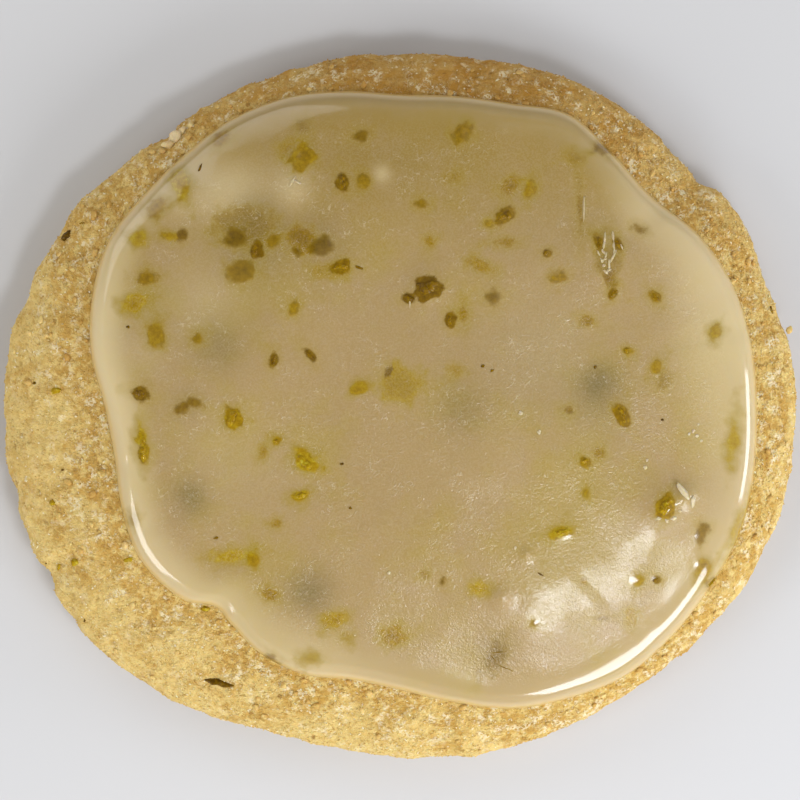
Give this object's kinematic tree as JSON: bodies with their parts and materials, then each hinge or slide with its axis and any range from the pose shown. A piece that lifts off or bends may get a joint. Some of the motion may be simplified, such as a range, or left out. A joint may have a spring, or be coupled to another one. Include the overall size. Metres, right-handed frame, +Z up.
{
  "type": "iced sugar cookie",
  "caption": "Domed round sugar biscuit with a crumbly rim, topped with a poured skin of glaze holding flecks of citrus zest.",
  "frame": {"origin": "middle of the footprint, on the surface that the biscuit rests on", "axes": "+X along the longest width, +Y across it, +Z up out of the glazed top"},
  "size_m": [0.076, 0.0676, 0.0122],
  "materials": {
    "dough": "granular baked crumb",
    "glaze": "satin sugar glaze, glossier at its rim"
  },
  "bodies": {
    "root": {"biscuit": "dough", "icing": "glaze"}
  },
  "joints": []
}
